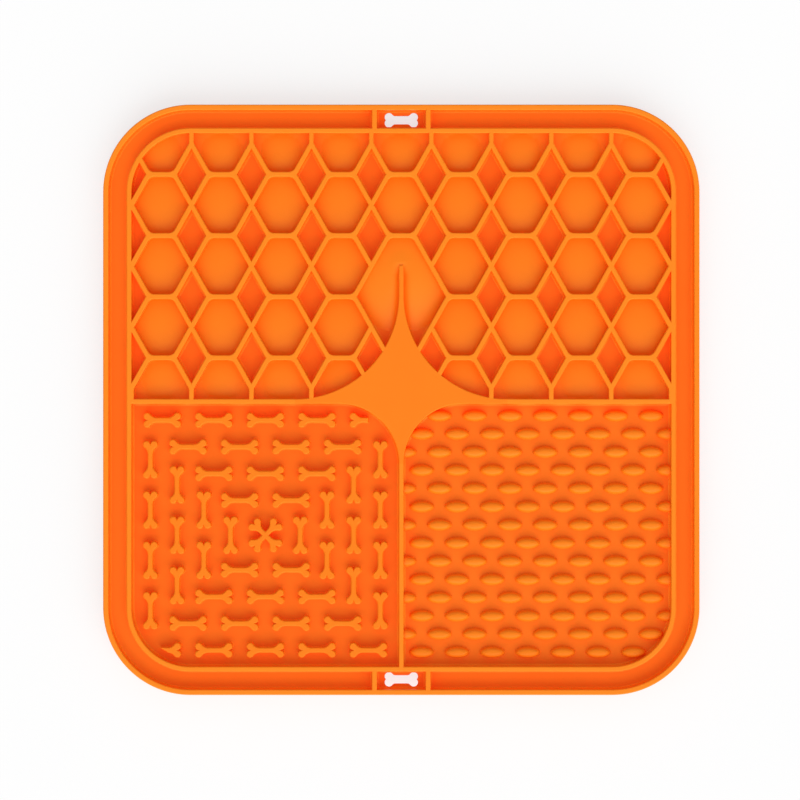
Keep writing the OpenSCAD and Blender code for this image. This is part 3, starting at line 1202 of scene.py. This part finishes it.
@dataclass(frozen=True)
class LowerField:
    """One of the two fields below the cross divider, on one side of the lower divider."""

    mat: Mat
    star: Star

    SIDE = 1

    def inside(self, point: Point, grow: float) -> bool:
        """Whether a point lies in the field.

        Args:
            point: Place in the plan.
            grow: How far the field is grown, below zero for a margin.

        Returns:
            True if the point lies clear of the walls, the frame's corner and the star.
        """
        x, y = self.SIDE * point[0], point[1]
        far_x, far_y = self.mat.field
        near_x, near_y = self.mat.wall / 2, self.mat.cross_y - self.mat.wall / 2
        frame, star = self.mat.corner - self.mat.field_inset, self.star.lower
        frame_x, frame_y, star_x, star_y = far_x - frame, frame - far_y, near_x + star, near_y - star
        within = near_x - grow < x < far_x + grow and -far_y - grow < y < near_y + grow
        in_frame = x < frame_x or y > frame_y or math.hypot(x - frame_x, y - frame_y) < frame + grow
        off_star = x > star_x or y < star_y or math.hypot(x - star_x, y - star_y) < star + grow
        return within and in_frame and off_star


@dataclass(frozen=True)
class BoneField(LowerField):
    """Square rings of small bones round a cross of two, in the left field."""

    shape: BoneShape = BoneShape()
    height: float = 4.0
    rings: int = 4
    gap_x: float = 4.7
    gap_y: float = 4.3
    corner_gap: float = 2.9
    step_extra: float = 0.32
    margin: float = 1.7
    end: float = 2.2
    slack: float = 1.0
    pointed_cut: tuple[Point, Point] = ((-81.3, -82.9), (-77.4, -85.4))
    cut_rise: float = 3.0
    form: EdgeForm = EdgeForm(foot=0.3, crest=0.45)

    SIDE = -1

    @property
    def middle(self) -> Point:
        """Middle of the field."""
        (x, y), half = self.mat.field, self.mat.wall / 2
        return (-(x + half) / 2, (self.mat.cross_y - half - y) / 2)

    def end_clear(self, place: Point, end: int, along_x: bool) -> bool:
        """Whether one end of a bone is clear: the box round its lobes, and its shaft back to the middle.

        Args:
            place: The bone's middle.
            end: -1 or 1.
            along_x: Whether it lies along X.

        Returns:
            True if the end can stand there.
        """
        tip, inner = end * self.shape.length / 2, end * (self.shape.length / 2 - self.end)
        half_w, half_shaft = self.shape.width / 2, self.shape.shaft / 2
        spots = [(tip, half_w), (inner, half_w), (0.0, half_shaft), (inner, half_shaft)]
        spots += [(a, -b) for a, b in spots]
        turned = spots if along_x else [(b, a) for a, b in spots]
        return all(self.inside(spot, -self.margin) for spot in shifted(turned, *place))

    def bone(self, owner: str, place: Point, along_x: bool) -> list[Region]:
        """Plan of a bone, or of the half of it that keeps clear of the walls.

        Args:
            owner: Name of its ring.
            place: Its middle.
            along_x: Whether it lies along X.

        Returns:
            One region, or none where both halves are too near a wall.
        """
        kept = [end for end in (-1, 1) if self.end_clear(place, end, along_x)]
        if not kept:
            return []
        (x, y), reach, half = place, self.shape.length / 2 + self.slack, self.shape.width / 2 + self.slack
        path = shifted([(a, b) if along_x else (-b, a) for a, b in self.shape.path()], x, y)
        limits: tuple[Path, ...] = ()
        if len(kept) == 1 and y > self.middle[1]:
            near, far = sorted((0.0, kept[0] * reach))
            limits = (box((x + near, y - half), (x + far, y + half)),)
        elif len(kept) == 1:
            a, b = self.pointed_cut
            low, high = y - half, a[1] + self.cut_rise
            limits = ([a, b, (b[0], low), (x + reach, low), (x + reach, high), (a[0], high)],)
        return [Region(owner, (path,), (), limits)]

    def build(self) -> None:
        """Builds and dresses the rings and the cross."""
        (x, y), floor, slope = self.middle, self.mat.floor, math.sqrt(0.5)
        cross = [
            [(x + slope * (a + turn * b), y + slope * (b - turn * a)) for a, b in self.shape.path()]
            for turn in (1, -1)]
        regions = [Region("bone_cross", tuple(cross))]
        pitch_x, pitch_y = self.shape.length + self.gap_x, self.shape.length + self.gap_y
        for ring in range(1, self.rings + 1):
            half = (self.shape.length + self.shape.width) / 2 + self.corner_gap
            half += (ring - 1) * (max(pitch_x, pitch_y) / 2 + self.step_extra)
            name = f"bone_ring_{ring}"
            for side in (-1, 1):
                for i in range(ring + 1):
                    regions += self.bone(name, (x + (i - ring / 2) * pitch_x, y + side * half), True)
                for i in range(ring):
                    regions += self.bone(name, (x + side * half, y + (i - (ring - 1) / 2) * pitch_y), False)
        FusedPlan(regions).build(floor, floor + self.height, lambda _: self.form, lambda _: BUMP_FINISH)


@dataclass(frozen=True)
class OvalField(LowerField):
    """Staggered rows of small domes, cut off by the walls of the right field."""

    length: float = 8.15
    width: float = 3.65
    height: float = 2.9
    fullness: float = 2.8
    gap: float = 3.72
    row_gap: float = 2.47
    start_x: float = 0.14
    start_y: float = 4.06
    kept: float = 0.468
    rows: int = 14
    foot: float = 0.2
    spokes: int = 36
    rings: int = 9
    foot_rings: int = 3
    overlap: float = 0.05
    halvings: int = 18
    origin_margin: float = 0.25
    origin_step: float = 0.01

    def free(self, origin: Point, toward: Point, limit: float) -> float:
        """Distance from a point in the field to its edge, or the limit if that is nearer.

        Args:
            origin: The point.
            toward: Unit vector.
            limit: Largest distance of interest.

        Returns:
            The distance.
        """

        def reaches(distance: float) -> bool:
            """Whether the field, and its overlap with the walls, reaches as far as a distance."""
            (x, y), (across, along) = origin, toward
            return self.inside((x + across * distance, y + along * distance), self.overlap)

        if reaches(limit):
            return limit
        near, far = 0.0, limit
        for _ in range(self.halvings):
            middle = (near + far) / 2
            near, far = (middle, far) if reaches(middle) else (near, middle)
        return near

    def origin(self, place: Point) -> Point:
        """Where the spokes of a dome start: its middle, or a point near it that lies well inside the field.

        Args:
            place: The dome's middle.

        Returns:
            The point.
        """
        inner = (self.mat.field[0] / 2, (self.mat.cross_y - self.mat.field[1]) / 2)
        while not self.inside(place, -self.origin_margin):
            place = tuple(p + (i - p) * self.origin_step for p, i in zip(place, inner))
        return place

    def dome(self, moulding: Moulding, place: Point) -> None:
        """Adds one dome.

        Args:
            moulding: What it is added to.
            place: The dome's middle, which may lie just outside the field.
        """
        a, b, h, floor = self.length / 2, self.width / 2, self.height, self.mat.floor
        origin = self.origin(place)
        ox, oy = origin[0] - place[0], origin[1] - place[1]
        power = 2 / self.fullness
        steep = math.acos((self.foot / h) ** (1 / power))

        def rise(x: float, y: float) -> float:
            """Height of the dome over a point, about its middle."""
            return h * max(0.0, 1 - math.hypot(x / a, y / b) ** self.fullness) ** (1 / self.fullness)

        rings: list[list[int]] = [[] for _ in range(self.rings + self.foot_rings)]
        for spoke in range(self.spokes):
            angle = 2 * math.pi * spoke / self.spokes
            ux, uy = unit(a * math.cos(angle), b * math.sin(angle))
            p = (ux / a) ** 2 + (uy / b) ** 2
            q = ox * ux / a ** 2 + oy * uy / b ** 2
            r = (ox / a) ** 2 + (oy / b) ** 2 - 1
            reach = (-q + math.sqrt(q * q - p * r)) / p
            free = self.free(origin, (ux, uy), reach + self.foot)
            spots = [reach * math.sin(steep * i / self.rings) ** power for i in range(1, self.rings + 1)]
            profile = [(t, rise(ox + t * ux, oy + t * uy)) for t in spots]
            last, low = profile[-1]
            turns = quarter_turn(self.foot_rings)[1:]
            profile += [(last + self.foot * (1 - cos), low * (1 - sin)) for sin, cos in turns]
            cut = False
            for ring, (t, z) in zip(rings, profile):
                if t > free:
                    t = free
                    if not cut:
                        z = max(z, rise(ox + t * ux, oy + t * uy))
                    cut = True
                ring.append(moulding.corner((origin[0] + t * ux, origin[1] + t * uy, floor + z)))
        moulding.loft((*origin, floor + rise(ox, oy)), rings, (*origin, floor))

    def build(self) -> None:
        """Builds and dresses the rows."""
        step_x, step_y, half = self.length + self.gap, self.width + self.row_gap, self.mat.wall / 2
        for row in range(1, self.rows + 1):
            y = self.mat.cross_y - half - self.start_y - (row - 1) * step_y
            x = half + self.start_x + (0 if row % 2 else step_x / 2)
            domes = Moulding()
            while x < self.mat.field[0] + self.kept:
                if self.inside((x, y), self.kept):
                    self.dome(domes, (x, y))
                x += step_x
            domes.make(f"oval_row_{row}", BUMP_FINISH)


@dataclass(frozen=True)
class SuctionCups:
    """Shallow shells on the mat's back that hold it on a floor or wall.

    The lip is given by distances in from the rim and heights, the root by the width and height of the fillet
    between the shell and the neck.
    """

    mat: Mat
    count: int = 5
    diameter: float = 24.0
    inset: float = 24.0
    hollow: float = 11.2
    hollow_steps: int = 12
    depth: float = 2.4
    lip: tuple[Point, ...] = ((0.92, 0.03), (0.7, 0.0), (0.25, 0.0), (0.06, 0.03), (0.0, 0.1))
    shell: float = 3.2
    shell_start: float = 0.18
    shell_steps: int = 9
    shell_lift: float = 0.02
    neck: float = 10.0
    root: Point = (0.7, 0.45)
    neck_fillet: float = 0.5
    fillet_turns: tuple[float, ...] = (0.5, 1.0, math.pi / 2)
    facets: int = 56

    def profile(self) -> list[Point]:
        """Half of a cup's section, from the middle of its hollow out and up to the sheet.

        Returns:
            Radii and heights.
        """
        outer, neck, (width, height), top = self.diameter / 2, self.neck / 2, self.root, self.neck_fillet
        inner = [self.hollow * i / self.hollow_steps for i in range(self.hollow_steps)]
        back = np.linspace(outer - self.shell_start, neck + width, self.shell_steps)
        points = [(r, cap_height(self.hollow, self.depth, r)) for r in inner]
        points += [(outer - inward, z) for inward, z in self.lip]
        points += [(r, cap_height(outer, self.shell, r) + self.shell_lift) for r in back]
        foot = points[-1][1]
        points += [
            (neck + width * (1 - math.sin(t)), foot + height * (1 - math.cos(t))) for t in self.fillet_turns]
        points += [
            (neck + top * (1 - math.cos(t)), self.mat.stand - top * (1 - math.sin(t)))
            for t in (0.0, *self.fillet_turns)]
        return [(float(r), float(z)) for r, z in points]

    def cup(self, moulding: Moulding, x: float, y: float) -> None:
        """Adds one cup.

        Args:
            moulding: What it is added to.
            x: Place of its middle along X.
            y: Place of its middle along Y.
        """
        (_, crest), *profile = self.profile()
        turns = [2 * math.pi * i / self.facets for i in range(self.facets)]
        rings = [
            [moulding.corner((x + r * math.cos(t), y + r * math.sin(t), z)) for t in turns] for r, z in profile]
        moulding.loft((x, y, self.mat.stand), rings[::-1], (x, y, crest))

    def build(self) -> None:
        """Builds and dresses the rows of cups."""
        steps = self.count - 1
        pitch_x, pitch_y = ((size - 2 * self.inset) / steps for size in (self.mat.width, self.mat.length))
        for row in range(self.count):
            cups = Moulding()
            for i in range(self.count):
                self.cup(cups, (i - steps / 2) * pitch_x, (row - steps / 2) * pitch_y)
            cups.make(f"suction_cups_{row + 1}", CUP_FINISH)


# Studio


@dataclass(frozen=True)
class Studio:
    """Pale floor, one large soft lamp, an even sky and a camera straight over the mat.

    The top is the height of the mat's top in millimetres, the plane in which a pixel has its size.
    """

    top: float
    distance: float = 1.2
    pixel: float = 0.33523
    pixels: int = 800
    offset: Point = (1.3, -0.2)
    lamp_turn: float = 12.0
    lamp_height: float = 34.0
    lamp_spread: float = 85.0
    lamp_share: float = 0.48
    lamp_place: Place = (0.4, -1.0, 1.5)
    floor_half: float = 2.0
    floor_colour: Colour = (0.97, 0.97, 0.97)
    floor_white: float = 0.7
    sensor: float = 36.0
    level: float = 1.0
    bounces: int = 12

    def build(self) -> None:
        """Sets up the whole studio."""
        self.make_floor()
        self.make_light()
        self.make_camera()
        bpy.context.scene.view_settings.view_transform = "Standard"
        bpy.context.scene.cycles.diffuse_bounces = self.bounces

    def make_floor(self) -> None:
        """Lays the floor, which the camera sees paler than it is, but with the mat's shadow."""
        half = self.floor_half
        mesh = bpy.data.meshes.new("studio_floor")
        mesh.from_pydata([(x, y, 0.0) for x, y in box((-half, -half), (half, half))], [], [(0, 1, 2, 3)])
        floor = bpy.data.objects.new("studio_floor", mesh)
        bpy.context.scene.collection.objects.link(floor)
        material = bpy.data.materials.new("studio_paper")
        graph = Graph(material)
        paper = graph.node("ShaderNodeBsdfDiffuse", None, {"Color": (*self.floor_colour, 1.0)})["BSDF"]
        white = graph.node("ShaderNodeEmission", None, {"Color": WHITE, "Strength": 1.0})["Emission"]
        share = self.floor_white * self.seen(graph)
        shader = graph.node("ShaderNodeMixShader", None, {0: share, 1: paper, 2: white})["Shader"]
        graph.node("ShaderNodeOutputMaterial", None, {"Surface": shader})
        mesh.materials.append(material)

    def seen(self, graph: Graph) -> Signal:
        """Mask that is 1 where the camera sees a surface, directly or in a reflection."""
        ray = graph.node("ShaderNodeLightPath")
        return ray["Is Camera Ray"] | ray["Is Glossy Ray"] | ray["Is Transmission Ray"]

    def make_light(self) -> None:
        """Hangs the lamp and lights the sky, which the camera sees as white."""
        lamp = bpy.data.lights.new("soft_lamp", "SUN")
        high = math.radians(self.lamp_height)
        lamp.energy = self.level * self.lamp_share * math.pi / math.sin(high)
        lamp.angle = math.radians(self.lamp_spread)
        lamp_object = bpy.data.objects.new("soft_lamp", lamp)
        lamp_object.rotation_euler = (math.pi / 2 - high, 0.0, math.radians(self.lamp_turn))
        lamp_object.location = self.lamp_place
        bpy.context.scene.collection.objects.link(lamp_object)
        world = bpy.data.worlds.new("studio_sky")
        bpy.context.scene.world = world
        graph = Graph(world)
        dim = self.level * (1 - self.lamp_share)
        strength = dim + (1 - dim) * self.seen(graph)
        sky = graph.node("ShaderNodeBackground", None, {"Color": WHITE, "Strength": strength})
        graph.node("ShaderNodeOutputWorld", None, {"Surface": sky["Background"]})

    def make_camera(self) -> None:
        """Hangs the camera straight over the mat."""
        camera = bpy.data.cameras.new("over_the_mat")
        view = self.pixel * self.pixels * MM
        camera.sensor_width = self.sensor
        camera.lens = self.sensor * (self.distance - self.top * MM) / view
        camera.shift_x = -self.offset[0] / self.pixels
        camera.shift_y = self.offset[1] / self.pixels
        camera_object = bpy.data.objects.new("over_the_mat", camera)
        camera_object.location = (0.0, 0.0, self.distance)
        bpy.context.scene.collection.objects.link(camera_object)
        bpy.context.scene.camera = camera_object


def main() -> None:
    """Builds the mat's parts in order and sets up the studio."""
    logging.basicConfig(level=logging.INFO, format="%(message)s")
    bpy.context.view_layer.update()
    mat = Mat()
    eyes = HangingEyes(mat)
    star = Star(mat)
    Sheet(mat, eyes).build()
    Walls(mat, eyes, star, Comb(mat)).build()
    BoneField(mat, star).build()
    OvalField(mat, star).build()
    SuctionCups(mat).build()
    Studio(mat.top).build()


if __name__ == "__main__":
    main()
